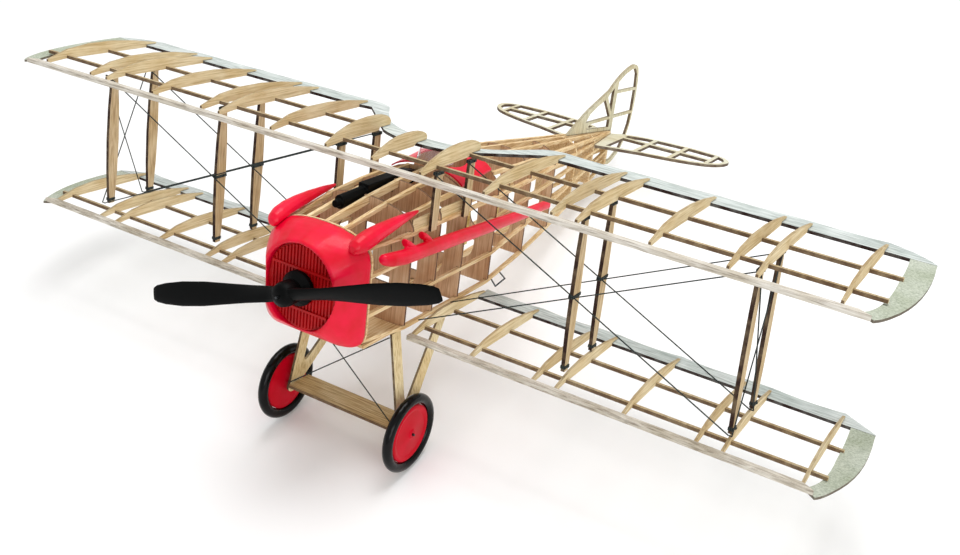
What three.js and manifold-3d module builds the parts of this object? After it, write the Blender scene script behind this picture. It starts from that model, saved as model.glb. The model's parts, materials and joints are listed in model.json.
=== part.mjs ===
// Stick-and-sheet biplane model, uncovered: balsa frames, red moulded nose, thread rigging.
// Everything is drawn level (x to the left wing, y to the tail, z up, zero at the upper front spar),
// then the whole aircraft is pitched to stand on its wheels and tail skid. Millimetres.
import * as THREE from 'three';
import Module from 'manifold-3d';
import { mergeVertices } from 'three/addons/utils/BufferGeometryUtils.js';

const wasm = await Module();
wasm.setup();

// ---- driving dimensions -------------------------------------------------
const touch = 0.3; // clearance kept where glued pieces meet
const sheet = 1.6; // rib and former stock
const stock = 2.4; // square stringer and strut stock
const spar = 2.2;

const halfSpan = 305;
const upper = { nose: -17.2, frontSpar: 0, rearSpar: 37.2, sparZ: -0.5, sheetFront: 73.3, ribTail: 83,
  rear: 91, ribHeight: 8.6, scallop: 1.2, leadTop: -0.8 };
const lower = { z: -105.2, nose: -9.2, frontSpar: 5, rearSpar: 39.6, sparZ: -0.9, sheetFront: 69.7, ribTail: 78.3,
  rear: 84.8, ribHeight: 8, scallop: 2, leadTop: 1.2 };
const cabaneX = 34; // half width of the centre section
const bay = 42.5;
const pairGap = 15; // the doubled rib beside each strut
const ribX = [cabaneX];
for (const step of [bay, bay, pairGap, bay, bay, pairGap, bay]) ribX.push(ribX.at(-1) + step);
const lowRibX = [35.3, 77, 119.3, 134.3, 176.9, 220.1, 235.4, 279.7];
const strutX = { inner: { top: 131.5, low: 134 }, outer: { top: 231, low: 235.6 } };
const leadHeight = 3;
const leadDepth = 4.4;
const sheetThick = 2;
const tipWidth = 14;
const centreTails = { side: 50, middle: 41 }; // short ribs over the cockpit

const noseY = -57.5; // front former
const cockpitY = 83; // rear edge of the cockpit
const postY = 334; // tail post
const bodyHalf = 34;
const tailHalf = 2.6;
const longeronZ = -37.5;
const lowStringZ = -77.5;
const midStringZ = -53;
const formerY = [-17, 13, 44, cockpitY, 140, 190, 240, 288];
const looseFormers = 6; // the last ones are built into the keel frame

const thrustZ = -64;
const bladeRadius = 104;
const bladeLift = THREE.MathUtils.degToRad(18);
const wheel = { x: 48.6, y: -22.4, z: -163.3, radius: 26, rim: 19.3, width: 6.4, axle: 0.8 };
const skidFoot = { y: 318, z: -93 };
const skidEnd = 1.4; // radius of the skid's foot
const stabZ = -46;

// resting attitude: the line under the tyre and the skid foot becomes the ground
const reachY = skidFoot.y - wheel.y;
const reachZ = skidFoot.z + skidEnd - wheel.z;
const pitch = Math.atan2(reachZ, reachY) + Math.asin((wheel.radius - skidEnd) / Math.hypot(reachY, reachZ));

// ---- finishes -------------------------------------------------------------
const finish = (color, roughness, metalness = 0) => new THREE.MeshStandardMaterial({ color, roughness, metalness });
const balsa = finish('#d9c394', 0.75);
const paleBalsa = finish('#d5d8cf', 0.8);
const brownBalsa = finish('#96694a', 0.8);
const redPlastic = finish('#d3122f', 0.25);
const blackPlastic = finish('#0d1011', 0.45);
const tyreRubber = finish('#101112', 0.35);
const thread = finish('#1d2424', 0.8);
const wire = finish('#3b3e40', 0.4, 0.9);
const clear = finish('#e6e9ea', 0.08);

// ---- solids ---------------------------------------------------------------
function toSolid(geometry) {
  const bare = geometry.index ? geometry.clone() : geometry;
  bare.deleteAttribute('normal');
  bare.deleteAttribute('uv');
  const merged = mergeVertices(bare, 1e-4);
  const mesh = new wasm.Mesh({
    numProp: 3,
    vertProperties: new Float32Array(merged.attributes.position.array),
    triVerts: new Uint32Array(merged.index.array),
  });
  return new wasm.Manifold(mesh);
}

function toGeometry(solid) {
  const mesh = solid.getMesh();
  const geometry = new THREE.BufferGeometry();
  geometry.setAttribute('position', new THREE.BufferAttribute(mesh.vertProperties, mesh.numProp));
  geometry.setIndex(new THREE.BufferAttribute(mesh.triVerts, 1));
  return geometry;
}

const join = (geometries) => toGeometry(geometries.map(toSolid).reduce((sum, part) => sum.add(part)));
const cut = (geometry, tools) => toGeometry(tools.map(toSolid).reduce((left, tool) => left.subtract(tool), toSolid(geometry)));

// faces turned to point outwards, whichever way the solid was drawn
function outward(geometry) {
  const place3 = geometry.attributes.position;
  const listed = geometry.index ? [...geometry.index.array] : Array.from({ length: place3.count }, (_, i) => i);
  const corner = (i) => new THREE.Vector3().fromBufferAttribute(place3, listed[i]);
  let volume = 0;
  for (let i = 0; i < listed.length; i += 3) volume += corner(i).dot(corner(i + 1).cross(corner(i + 2)));
  if (volume < 0) {
    for (let i = 0; i < listed.length; i += 3) [listed[i], listed[i + 2]] = [listed[i + 2], listed[i]];
  }
  geometry.setIndex(listed);
  return geometry;
}

// skin over matching rings of points, closed by fans at both ends
function loft(rings) {
  const count = rings[0].length;
  const points = rings.flat();
  const faces = [];
  for (let r = 0; r + 1 < rings.length; r += 1) {
    for (let i = 0; i < count; i += 1) {
      const a = r * count + i;
      const b = r * count + ((i + 1) % count);
      faces.push([a, b, b + count], [a, b + count, a + count]);
    }
  }
  const last = (rings.length - 1) * count;
  for (let i = 1; i + 1 < count; i += 1) faces.push([0, i + 1, i], [last, last + i, last + i + 1]);
  const geometry = new THREE.BufferGeometry().setFromPoints(points);
  geometry.setIndex(faces.flat());
  return outward(geometry);
}

const extrude = (shape, depth, curveSegments = 4) =>
  new THREE.ExtrudeGeometry(shape, { depth, bevelEnabled: false, curveSegments });

// outline in y and z, thickness along x
function plateAcross(shape, x0, x1, curveSegments) {
  const turn = new THREE.Matrix4().set(0, 0, 1, x0, 1, 0, 0, 0, 0, 1, 0, 0, 0, 0, 0, 1);
  return extrude(shape, x1 - x0, curveSegments).applyMatrix4(turn);
}

// outline in x and z, thickness along y
function plateFacing(shape, y0, y1, curveSegments) {
  const turn = new THREE.Matrix4().set(1, 0, 0, 0, 0, 0, -1, y1, 0, 1, 0, 0, 0, 0, 0, 1);
  return extrude(shape, y1 - y0, curveSegments).applyMatrix4(turn);
}

// outline in x and y, thickness along z
const plateFlat = (shape, z0, z1, curveSegments) => extrude(shape, z1 - z0, curveSegments).translate(0, 0, z0);

function block(x0, x1, y0, y1, z0, z1) {
  const box = new THREE.BoxGeometry(x1 - x0, y1 - y0, z1 - z0);
  return box.translate((x0 + x1) / 2, (y0 + y1) / 2, (z0 + z1) / 2);
}

// round line between two points
function strand(from, to, radius, sides = 6) {
  const direction = new THREE.Vector3().subVectors(to, from);
  const rod = new THREE.CylinderGeometry(radius, radius, direction.length(), sides);
  const turn = new THREE.Quaternion().setFromUnitVectors(new THREE.Vector3(0, 1, 0), direction.clone().normalize());
  const middle = new THREE.Vector3().addVectors(from, to).multiplyScalar(0.5);
  return rod.applyQuaternion(turn).translate(middle.x, middle.y, middle.z);
}

// square stick through stations [x, y, z], its section kept upright
function stickAlong(stations, width, height) {
  return loft(stations.map(([x, y, z]) => {
    const corner = (i, k) => new THREE.Vector3(x + (i * width) / 2, y, z + (k * height) / 2);
    return [corner(-1, -1), corner(1, -1), corner(1, 1), corner(-1, 1)];
  }));
}

// round bar through stations [x, y, z, radius]
function barAlong(stations, sides = 12, squash = 1) {
  return loft(stations.map(([x, y, z, radius]) => {
    const ring = [];
    for (let i = 0; i < sides; i += 1) {
      const turn = (2 * Math.PI * i) / sides;
      ring.push(new THREE.Vector3(x + radius * Math.cos(turn), y, z + radius * squash * Math.sin(turn)));
    }
    return ring;
  }));
}

const mix = THREE.MathUtils.lerp;
const point = (x, y, z) => new THREE.Vector3(x, y, z);
const mirrored = (side, geometry) => (side > 0 ? geometry : outward(geometry.clone().scale(-1, 1, 1)));

function turnedSolid(profile, segments) {
  // profile of [radius, height] pairs
  const line = profile.map(([radius, height]) => new THREE.Vector2(radius, height));
  return outward(new THREE.LatheGeometry(line, segments));
}

const sides = [['left', 1], ['right', -1]];
const plane = new THREE.Group(); // the level aircraft

function place(name, geometry, material, parent = plane) {
  geometry.deleteAttribute('normal');
  geometry.deleteAttribute('uv');
  geometry.computeVertexNormals();
  const mesh = new THREE.Mesh(geometry, material);
  mesh.name = name;
  parent.add(mesh);
  return mesh;
}

// ---- wings ------------------------------------------------------------------
function ribShape(wing, tail) {
  const seat = sheetThick / 2 + 0.7; // the tail rides over the rear sheet
  const shape = new THREE.Shape();
  shape.moveTo(wing.nose, -1.9);
  shape.lineTo(wing.frontSpar - 3, -0.5);
  shape.lineTo(wing.sheetFront - touch, -0.4);
  shape.lineTo(wing.sheetFront - touch, seat);
  shape.lineTo(tail, seat);
  shape.lineTo(tail, seat + 0.8);
  shape.bezierCurveTo(mix(wing.nose, tail, 0.66), wing.ribHeight, wing.nose + 26, wing.ribHeight + 3.4, wing.nose, 0.6);
  return shape;
}

// short rib over the cockpit, with a round tail
function stubShape(wing, tail, height) {
  const shape = new THREE.Shape();
  shape.moveTo(wing.nose, -1.9);
  shape.lineTo(wing.frontSpar - 3, -0.5);
  shape.lineTo(tail - 15, -0.4);
  shape.lineTo(tail - 12, 1.7);
  shape.lineTo(tail - 1, 1.7);
  shape.bezierCurveTo(tail + 1.5, height * 0.6, tail - 5, height, tail - 16, height + 0.6);
  shape.bezierCurveTo(tail - 30, height + 1.4, wing.nose + 17, height + 0.8, wing.nose, 0.6);
  return shape;
}

const ribAt = (shape, x) => plateAcross(shape, x - sheet / 2, x + sheet / 2, 5);
const sparBar = (x0, x1, y, z = upper.sparZ) => block(x0, x1, y - spar / 2, y + spar / 2, z, z + spar);

function upperFrame() {
  const reach = halfSpan - tipWidth - touch;
  const parts = [sparBar(-reach + 2, reach - 2, upper.frontSpar)];
  for (const [, side] of sides) parts.push(mirrored(side, sparBar(cabaneX, reach, upper.rearSpar)));
  parts.push(ribAt(stubShape(upper, centreTails.middle, 8.6), 0));
  for (const x of ribX) {
    const shape = x === cabaneX ? stubShape(upper, centreTails.side, 9.6) : ribShape(upper, upper.ribTail);
    parts.push(ribAt(shape, x), ribAt(shape, -x));
  }
  return join(parts);
}

function lowerFrame(side) {
  const reach = halfSpan - 6 - tipWidth - touch;
  const parts = [
    sparBar(lowRibX[0], reach - 2, lower.frontSpar, lower.sparZ), sparBar(lowRibX[0], reach, lower.rearSpar, lower.sparZ),
  ];
  for (const x of lowRibX) parts.push(ribAt(ribShape(lower, lower.ribTail), x));
  return mirrored(side, join(parts));
}

const leadEdge = (wing, x0, x1) => {
  const rear = wing.nose - touch;
  const shape = new THREE.Shape();
  shape.moveTo(x0, rear - leadDepth);
  shape.lineTo(x1, rear - leadDepth);
  shape.lineTo(x1 - 7, rear);
  shape.lineTo(x0, rear);
  return shape;
};

// front of the leading edge rounded by two extra facets
function leadBar(wing, x0, x1, mirrorToo) {
  const slab = plateFlat(leadEdge(wing, x0, x1), wing.leadTop - leadHeight, wing.leadTop);
  const front = wing.nose - touch - leadDepth;
  const shave = (z, turn) => {
    const tool = new THREE.BoxGeometry(3 * halfSpan, 4, 4);
    return tool.rotateX(turn).translate(0, front - 1.9, z);
  };
  const bar = cut(slab, [shave(wing.leadTop + 1.4, Math.PI / 5), shave(wing.leadTop - leadHeight - 1.4, Math.PI / 3.5)]);
  return mirrorToo ? join([bar, mirrored(-1, bar)]) : bar;
}

// rear sheet: straight front, shallow scallops between the ribs, rounded outer corner
function rearOutline(wing, stations, corner) {
  const shape = new THREE.Shape();
  const first = stations[0];
  shape.moveTo(first, wing.sheetFront);
  shape.lineTo(first, wing.rear);
  for (let i = 1; i < stations.length; i += 1) {
    const from = stations[i - 1];
    const to = stations[i];
    const dip = to - from > 2 * pairGap ? wing.scallop * 2 : 0;
    shape.quadraticCurveTo((from + to) / 2, wing.rear - dip, to, wing.rear);
  }
  shape.bezierCurveTo(corner - 16, wing.rear - 3.5, corner - 6, wing.rear - 9.5, corner, wing.sheetFront + 1);
  shape.lineTo(corner, wing.sheetFront);
  return shape;
}

function upperRear() {
  const shape = rearOutline(upper, ribX.slice(1), halfSpan);
  const wingPart = plateFlat(shape, -sheetThick / 2 + 0.2, sheetThick / 2 + 0.2, 5);
  // the sheet swings forward over the cockpit between the last full ribs
  const inner = ribX[1];
  const bow = new THREE.Shape();
  bow.moveTo(0, 29);
  bow.quadraticCurveTo(18, 29, 30, 37);
  bow.lineTo(inner - 9, 76);
  bow.quadraticCurveTo(inner - 4, upper.sheetFront + 2, inner + 2, upper.sheetFront);
  bow.lineTo(inner + 2, upper.rear);
  bow.quadraticCurveTo(inner - 9, upper.rear + 2, inner - 17, upper.rear - 5);
  bow.quadraticCurveTo(44, 62, 36, 55);
  bow.quadraticCurveTo(20, 43, 0, 43);
  const bowPart = plateFlat(bow, -sheetThick / 2 + 0.2, sheetThick / 2 + 0.2, 5);
  return join([wingPart, mirrored(-1, wingPart), bowPart, mirrored(-1, bowPart)]);
}

function tipPlate(wing, corner) {
  const rear = wing.sheetFront - touch;
  const leadY = wing.nose - touch - leadDepth;
  const shape = new THREE.Shape();
  shape.moveTo(corner, rear);
  shape.bezierCurveTo(corner + 4, rear - 34, corner + 2, leadY + 30, corner - 6, leadY + 10);
  shape.quadraticCurveTo(corner - 9, leadY + 2, corner - 12, leadY - 1);
  shape.lineTo(corner - 18.7, leadY + leadDepth + touch);
  shape.quadraticCurveTo(corner - 10, leadY + 14, corner - 12, rear - 40);
  shape.quadraticCurveTo(corner - 12, rear - 20, corner - tipWidth, rear);
  return shape;
}

const tipDrop = THREE.MathUtils.degToRad(-2.1); // the tip falls to the level of the leading edge
function wingTip(wing, corner, side) {
  const plate = plateFlat(tipPlate(wing, corner), -sheet / 2, sheet / 2, 8);
  plate.translate(0, -wing.sheetFront, 0).rotateX(-tipDrop).translate(0, wing.sheetFront, 0.4);
  return mirrored(side, plate);
}

const lowCorner = halfSpan - 5;
place('upper_wing_ribs_and_spars', upperFrame(), balsa);
place('upper_leading_edge', leadBar(upper, -0.5, halfSpan - 13.3, true), paleBalsa);
place('upper_trailing_edge', upperRear(), paleBalsa);
for (const [name, side] of sides) {
  place(`upper_wingtip_${name}`, wingTip(upper, halfSpan, side), paleBalsa);
  const root = bodyHalf + 0.5;
  const lift = (geometry) => geometry.translate(0, 0, lower.z);
  place(`lower_wing_ribs_and_spars_${name}`, lift(lowerFrame(side)), balsa);
  place(`lower_leading_edge_${name}`, lift(mirrored(side, leadBar(lower, root, lowCorner - 13.3, false))), paleBalsa);
  const rear = plateFlat(rearOutline(lower, [root, ...lowRibX.slice(1)], lowCorner), -sheetThick / 2 + 0.2,
    sheetThick / 2 + 0.2, 5);
  place(`lower_trailing_edge_${name}`, lift(mirrored(side, rear)), paleBalsa);
  place(`lower_wingtip_${name}`, lift(wingTip(lower, lowCorner, side)), paleBalsa);
}

// ---- struts -----------------------------------------------------------------
function strutShape(y, top, bottom, ends, middle) {
  const shape = new THREE.Shape();
  const half = (top + bottom) / 2;
  shape.moveTo(y - ends / 2, bottom);
  shape.lineTo(y + ends / 2, bottom);
  shape.quadraticCurveTo(y + middle - ends / 2, half, y + ends / 2, top);
  shape.lineTo(y - ends / 2, top);
  shape.quadraticCurveTo(y - middle + ends / 2, half, y - ends / 2, bottom);
  return shape;
}

const strutTop = -1.9;
const strutBottom = lower.z + 8.2;
const strutY = [upper.frontSpar + 1, upper.rearSpar + 1];
const strutRows = [['front', strutY[0]], ['rear', strutY[1]]];
const cabane = { x: bodyHalf + 1.6, top: strutTop, bottom: longeronZ - 1.5, thick: 2 };
for (const [name, side] of sides) {
  for (const [row, y] of strutRows) {
    for (const [where, { top, low }] of Object.entries(strutX)) {
      const lean = (top - low) / (strutTop - strutBottom);
      const shear = new THREE.Matrix4().set(1, 0, lean, top - lean * strutTop, 0, 1, 0, 0, 0, 0, 1, 0, 0, 0, 0, 1);
      const bar = plateAcross(strutShape(y, strutTop, strutBottom, 4.5, 9), -stock / 2, stock / 2).applyMatrix4(shear);
      place(`${where}_${row}_strut_${name}`, mirrored(side, bar), balsa);
    }
    const post = plateAcross(strutShape(y, cabane.top, cabane.bottom, 6.2, 7), cabane.x - cabane.thick / 2,
      cabane.x + cabane.thick / 2, 3);
    place(`cabane_${row}_strut_${name}`, mirrored(side, post), balsa);
  }
}

// ---- fuselage ---------------------------------------------------------------
const aft = (y) => THREE.MathUtils.clamp((y - cockpitY) / (postY - cockpitY), 0, 1);
const halfWidth = (y) => mix(bodyHalf, tailHalf, aft(y) ** 1.15);
const floorZ = (y) => {
  const rise = THREE.MathUtils.clamp((y - 60) / (postY - 60), 0, 1);
  return y < formerY[0] - 1 ? -98.5 : -99.5 + 27.5 * rise ** 1.6;
};
const crownZ = (y) => {
  if (y >= cockpitY) return mix(-13.5, -43, aft(y));
  const stations = [[noseY, -28.8], [-17, -22.5], [13, -19], [44, -17.5], [cockpitY, -13.5]];
  const i = Math.max(1, stations.findIndex(([at]) => y <= at));
  const [[y0, z0], [y1, z1]] = [stations[i - 1], stations[i]];
  return mix(z0, z1, (y - y0) / (y1 - y0));
};
const shoulderZ = (y) => (y < formerY[0] - 1 ? -46 : mix(longeronZ + 0.5, -46, aft(y)));

// outline of the body at station y, grown by a margin
function bodyShape(y, margin = 0) {
  const w = halfWidth(y) + margin;
  const low = floorZ(y) - margin;
  const top = crownZ(y) + margin;
  const shoulder = shoulderZ(y);
  const round = y < formerY[0] - 1 ? 11 : Math.min(2, w / 2);
  const shape = new THREE.Shape();
  shape.moveTo(-w + round, low);
  shape.lineTo(w - round, low);
  shape.quadraticCurveTo(w, low, w, low + round);
  shape.lineTo(w, shoulder);
  const flat = y < formerY[0] - 1 ? 0.72 : 0.56;
  const bulge = mix(shoulder, top, 0.62);
  shape.bezierCurveTo(w, bulge, w * flat, top, 0, top);
  shape.bezierCurveTo(-w * flat, top, -w, bulge, -w, shoulder);
  shape.lineTo(-w, low + round);
  shape.quadraticCurveTo(-w, low, -w + round, low);
  return shape;
}

// height of the round deck at a distance from the centre line
function deckZ(y, x) {
  const w = halfWidth(y);
  const reach = Math.min(Math.abs(x) / w, 1);
  return mix(shoulderZ(y), crownZ(y), Math.sqrt(Math.max(0, 1 - reach ** 2.6)));
}

const stations = [noseY + 0.2, ...formerY, postY - 1];
const inset = stock / 2 + 0.05;
const sideLine = (side, level, drawIn = 0) =>
  stations.map((y, i) => [side * (halfWidth(y) - inset - (i ? 0 : drawIn)), y, level(y)]);
const between = (from, to) => stations.filter((y) => y >= from && y <= to);

// every stick of the open body: [stations, width, height]
function bodySticks(grow = 0) {
  const size = stock + grow;
  const sticks = [];
  for (const [, side] of sides) {
    const tailZ = (level, end) => (y) => mix(level, end, aft(y));
    sticks.push([sideLine(side, tailZ(longeronZ, -46), 4), size, size]);
    sticks.push([sideLine(side, tailZ(midStringZ, -52)), size, size]);
    sticks.push([sideLine(side, tailZ(lowStringZ, -60)), size, size]);
    const sill = stations.map((y) => [
      side * (halfWidth(y) - (y < formerY[0] - 1 ? 5 : inset)),
      y,
      floorZ(y) + (y < formerY[0] - 1 ? 3.4 : inset),
    ]);
    sticks.push([sill, size, size]);
    for (const share of [0.38, 0.8]) {
      const rail = between(noseY, 44).map((y) => [side * bodyHalf * share, y, deckZ(y, bodyHalf * share) - inset]);
      sticks.push([rail, size, size]);
      const back = between(cockpitY, postY).map((y) => [
        side * halfWidth(y) * share, y, deckZ(y, halfWidth(y) * share) - inset,
      ]);
      sticks.push([back, size, size]);
    }
  }
  const keelDepth = 4.6;
  const ridge = (ys) => ys.map((y) => [0, y, crownZ(y) - keelDepth / 2 - 0.05]);
  sticks.push([ridge(between(noseY, 44)), size, keelDepth + grow]);
  sticks.push([ridge(between(cockpitY, postY)), size, keelDepth + grow]);
  sticks.push([stations.map((y) => [0, y, floorZ(y) + keelDepth / 2 + 0.05]), size, keelDepth + grow]);
  return sticks.map(([line, width, height]) => stickAlong(line, width, height));
}

function formerHole(y) {
  const w = halfWidth(y) - 13.5 * (halfWidth(y) / bodyHalf);
  const low = floorZ(y) + 9 * (halfWidth(y) / bodyHalf) + 2;
  const top = mix(shoulderZ(y), crownZ(y), 0.1) - 3;
  const round = w * 0.7;
  const shape = new THREE.Shape();
  shape.moveTo(-w + round, low);
  shape.lineTo(w - round, low);
  shape.quadraticCurveTo(w, low, w, low + round);
  shape.lineTo(w, top - round);
  shape.quadraticCurveTo(w, top, w - round, top);
  shape.lineTo(-w + round, top);
  shape.quadraticCurveTo(-w, top, -w, top - round);
  shape.lineTo(-w, low + round);
  shape.quadraticCurveTo(-w, low, -w + round, low);
  return shape;
}

function formerPlate(y) {
  const shape = bodyShape(y);
  if (halfWidth(y) > 12) shape.holes.push(formerHole(y));
  return plateFacing(shape, y - sheet / 2, y + sheet / 2, 7);
}

function bodyCage() {
  const front = bodyShape(noseY);
  front.holes.push(formerHole(noseY + 1));
  const parts = [plateFacing(front, noseY, noseY + sheet, 7), ...bodySticks()];
  for (const y of formerY.slice(looseFormers)) parts.push(formerPlate(y));
  // floor that carries the undercarriage, and the upright tail post
  const floor = floorZ(formerY[0]);
  parts.push(block(-bodyHalf + 2, bodyHalf - 2, noseY + 2, formerY[0] - sheet / 2 - touch, floor + 0.2, floor + 2));
  parts.push(block(-tailHalf, tailHalf, postY - 4, postY, floorZ(postY), -43.2));
  return join(parts);
}

place('fuselage_keels_and_stringers', bodyCage(), balsa);
const clearSticks = bodySticks(2 * touch + 0.1);
formerY.slice(0, looseFormers).forEach((y, i) => {
  place(`fuselage_former_${i + 2}`, cut(formerPlate(y), [...clearSticks, gun(touch + 0.2)]), brownBalsa);
});

// ---- nose -------------------------------------------------------------------
const cowlRear = noseY - touch;
const cowlFront = -79;
const grilleY = -75;
const opening = { x: 24.5, z: 26.5 };

const rim = { x: opening.x + 2.2, z: opening.z + 2.2 };

// ring of points between the body outline (blend 0) and the oval rim (blend 1), drawn in by wall
function cowlRing(y, blend, wall = 0) {
  const outline = bodyShape(noseY, 0.4).getPoints(5).slice(0, -1);
  return outline.map(({ x, y: z }) => {
    const dz = z - thrustZ;
    const reach = Math.hypot(x, dz);
    const oval = 1 / Math.hypot(x / reach / rim.x, dz / reach / rim.z);
    const scale = (mix(reach, oval, blend) - wall) / reach;
    return point(x * scale, y, thrustZ + dz * scale);
  });
}

const cowlSteps = [[0, 0], [0.22, 0.06], [0.42, 0.2], [0.6, 0.4], [0.77, 0.64], [0.9, 0.84], [1, 1]];
const cowlBody = (margin = 0) =>
  loft(cowlSteps.map(([along, blend]) => cowlRing(mix(cowlRear, cowlFront, along) - along * margin, blend, -margin)));

function ovalPlug(rx, rz, y0, y1, segments = 32) {
  const plug = new THREE.CylinderGeometry(1, 1, y1 - y0, segments);
  return plug.scale(rx, 1, rz).translate(0, (y0 + y1) / 2, thrustZ);
}

function cowl() {
  const wall = 1.4;
  const inner = loft([
    cowlRing(cowlRear + 1, 0, wall), cowlRing(cowlRear - 6, 0.16, wall), cowlRing(grilleY + 2.6, 0.66, wall),
  ]);
  return cut(cowlBody(), [inner, ovalPlug(opening.x, opening.z, cowlFront - 2, cowlRear)]);
}

// moulded shutters: upright slats on a back plate, with two cross bars
function grille() {
  const back = ovalPlug(opening.x - touch, opening.z - touch, grilleY, grilleY + 2);
  const slats = [];
  const pitch = 2.3;
  for (let x = -9 * pitch; x < opening.x - 2; x += pitch) {
    const tall = (opening.z - 1.4) * Math.sqrt(1 - ((Math.abs(x) + 0.6) / opening.x) ** 2);
    slats.push(block(x - 0.55, x + 0.55, grilleY - 1, grilleY + 1, thrustZ - tall, thrustZ + tall));
  }
  for (const z of [11, -13.5]) {
    const wide = (opening.x - 1.4) * Math.sqrt(1 - ((Math.abs(z) + 0.7) / opening.z) ** 2);
    slats.push(block(-wide, wide, grilleY - 1.8, grilleY + 1, thrustZ + z - 0.7, thrustZ + z + 0.7));
  }
  const shaftHole = new THREE.CylinderGeometry(2, 2, 20, 16).translate(0, grilleY, thrustZ);
  return cut(join([back, ...slats]), [shaftHole]);
}

const hubY = -90;
const shaftRadius = 0.8;
function thrustBearing() {
  const seat = grilleY - 2.2;
  return turnedSolid([[shaftRadius + 0.2, seat], [10.5, seat], [10.5, seat - 2.4], [8.6, seat - 4.4], [6.8, seat - 6],
    [shaftRadius + 0.2, seat - 6], [shaftRadius + 0.2, seat]], 20).translate(0, 0, thrustZ);
}

// blade section at radius r: chord and thickness, set at the pitch angle
function bladeRing(r, chord, thick, lead) {
  const pitch = Math.min(Math.atan(150 / (2 * Math.PI * r)), 0.75);
  const ring = [];
  for (let i = 0; i < 10; i += 1) {
    const turn = (2 * Math.PI * i) / 10;
    const along = (chord / 2) * Math.cos(turn);
    const across = (thick / 2) * Math.sin(turn);
    ring.push(point(
      r,
      lead - along * Math.sin(pitch) + across * Math.cos(pitch),
      along * Math.cos(pitch) + across * Math.sin(pitch),
    ));
  }
  return ring;
}

function propeller() {
  const cuts = [[2, 9, 7], [12, 10.5, 5], [27, 11.4, 3.4], [44, 12.6, 2.8], [62, 14.6, 2.4], [80, 14.8, 2],
    [94, 12.8, 1.7], [101, 10.4, 1.4], [bladeRadius, 7.4, 1]];
  const blade = () => loft(cuts.map(([r, chord, thick]) => bladeRing(r, chord, thick, 0)));
  const other = blade().rotateY(Math.PI);
  const hub = turnedSolid([[0, 6], [7.2, 6], [7.4, 0], [6.4, -4], [3.6, -5.4], [0, -5.8]], 20);
  const whole = join([blade(), other, hub]);
  return cut(whole, [new THREE.CylinderGeometry(shaftRadius + 0.1, shaftRadius + 0.1, 30, 12)]);
}

const propPivot = new THREE.Group();
propPivot.position.set(0, hubY, thrustZ);
propPivot.rotation.y = -bladeLift;
plane.add(propPivot);
place('propeller', propeller(), blackPlastic, propPivot);
const shaft = new THREE.CylinderGeometry(shaftRadius, shaftRadius, 44, 12);
place('propeller_shaft', shaft.translate(0, 14.5, 0), wire, propPivot);
place('thrust_bearing', thrustBearing(), blackPlastic);
place('radiator_grille', grille(), redPlastic);
place('nose_cowl', cowl(), redPlastic);

// keeps side fittings off the body frame
function bodyEnvelope(margin) {
  const ring = (y, from) => bodyShape(from, margin).getPoints(5).slice(0, -1).map(({ x, y: z }) => point(x, y, z));
  return loft([ring(noseY - 1, noseY), ring(-17, -16), ring(13, 13), ring(44, 44), ring(cockpitY, cockpitY)]);
}

function horn() {
  const bar = barAlong([[28.6, -70, -34.6, 2.2], [28.8, -68, -33.8, 4.2], [29.2, -63, -32.6, 5.6], [29.6, -56, -31, 5.6],
    [30, -46, -29.2, 4.8], [30.3, -34, -27.8, 3.8], [30.4, -20, -26.6, 2.4], [30.4, -9, -25.9, 0.9]], 12);
  return cut(bar, [bodyEnvelope(1.3), cowlBody(touch)]);
}

function exhaust() {
  const pipe = barAlong([[38.6, -56, -41.5, 1.6], [39, -54, -41.8, 3.4], [39.8, -48, -43, 4.3], [40.6, -36, -44.6, 4.6],
    [40.8, 0, -46.6, 4.5], [40.6, 50, -50, 4.2], [40, 100, -53.6, 3.7], [38.8, 140, -56, 3.3], [38.4, 150, -56.8, 3.4]], 12);
  // stub pipes turn in from the top towards the engine bay
  const stub = (y) => barAlong([[39, y, -42.6, 2.6], [38, y - 4, -39.6, 2.8], [37.6, y - 8, -37.6, 2.6]], 8);
  const whole = join([pipe, stub(-24), stub(-6.5)]);
  return cut(whole, [bodyEnvelope(0.5)]);
}

for (const [name, side] of sides) {
  place(`fairing_${name}`, mirrored(side, horn()), redPlastic);
  place(`exhaust_pipe_${name}`, mirrored(side, exhaust()), redPlastic);
}

// gun let into the deck beside the ridge: barrel, jacket and breech in one moulding
function gun(grow = 0) {
  const x = -6.5;
  const barrel = barAlong([[x, -41 - grow, -24.4, 2.4 + grow], [x, -35, -24.2, 2.6 + grow]], 10);
  const jacket = barAlong([[x, -37 - grow, -24.2, 3.7 + grow], [x, 2, -23, 3.8 + grow]], 12, 1.2);
  const breech = new THREE.Shape();
  breech.moveTo(-14 - grow, -27.6 - grow);
  breech.lineTo(34 + grow, -27 - grow);
  breech.lineTo(42.6, -25 - grow);
  breech.lineTo(42.6, -20.6 + grow);
  breech.lineTo(30, -17.4 + grow);
  breech.lineTo(-14 - grow, -17.8 + grow);
  return join([barrel, jacket, plateAcross(breech, x - 3.7 - grow, x + 3.7 + grow)]);
}
place('deck_gun', gun(), blackPlastic);

// windscreen: one raked sheet folded round the front of the cockpit
function windscreen() {
  const wall = 0.8;
  const shape = new THREE.Shape();
  shape.moveTo(-13, 9);
  shape.lineTo(-9, 0);
  shape.lineTo(9, 0);
  shape.lineTo(13, 9);
  shape.lineTo(13 - wall, 9);
  shape.lineTo(9 - wall * 0.7, wall);
  shape.lineTo(-9 + wall * 0.7, wall);
  shape.lineTo(-13 + wall, 9);
  const rake = new THREE.Matrix4().set(1, 0, 0, 0, 0, 1, 0.35, 0, 0, 0, 1, 0, 0, 0, 0, 1);
  return plateFlat(shape, 0, 10).applyMatrix4(rake).translate(0, 46, -14.8);
}
place('windscreen', windscreen(), clear);

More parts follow.
